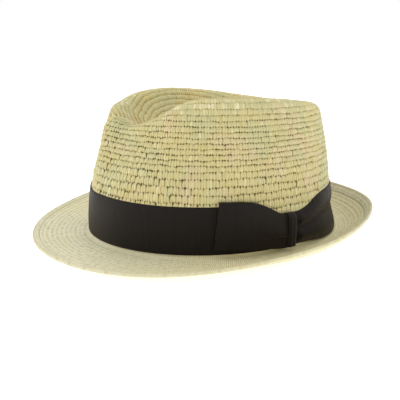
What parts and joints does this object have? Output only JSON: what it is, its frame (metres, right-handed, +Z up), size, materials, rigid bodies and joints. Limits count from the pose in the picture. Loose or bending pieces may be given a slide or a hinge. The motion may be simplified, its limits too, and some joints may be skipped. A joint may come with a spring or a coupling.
{
  "type": "trilby hat",
  "caption": "Straw trilby with a teardrop crown, an upturned back brim, a dark ribbon band and a flat side bow.",
  "frame": {"origin": "middle of the hat's plan on the surface it rests on, below the lowest straw of the brim", "axes": "+Z up; the front of the hat faces -Y, its turned-up back faces +Y, and the wearer's left side with the bow is +X"},
  "size_m": [0.2472, 0.2768, 0.1075],
  "materials": {
    "crochet_straw": "crocheted paper straw, matt with a soft sheen",
    "woven_straw": "finely woven paper straw, matt with a soft sheen",
    "ribbon": "ribbed dark brown ribbon with a soft sheen",
    "bow_ribbon": "ribbed dark brown ribbon with a soft sheen",
    "knot_ribbon": "ribbed dark brown ribbon with a soft sheen"
  },
  "bodies": {
    "root": {"crown": "crochet_straw", "brim": "woven_straw", "band": "ribbon", "bow_loop": "bow_ribbon", "bow_knot": "knot_ribbon"}
  },
  "joints": []
}
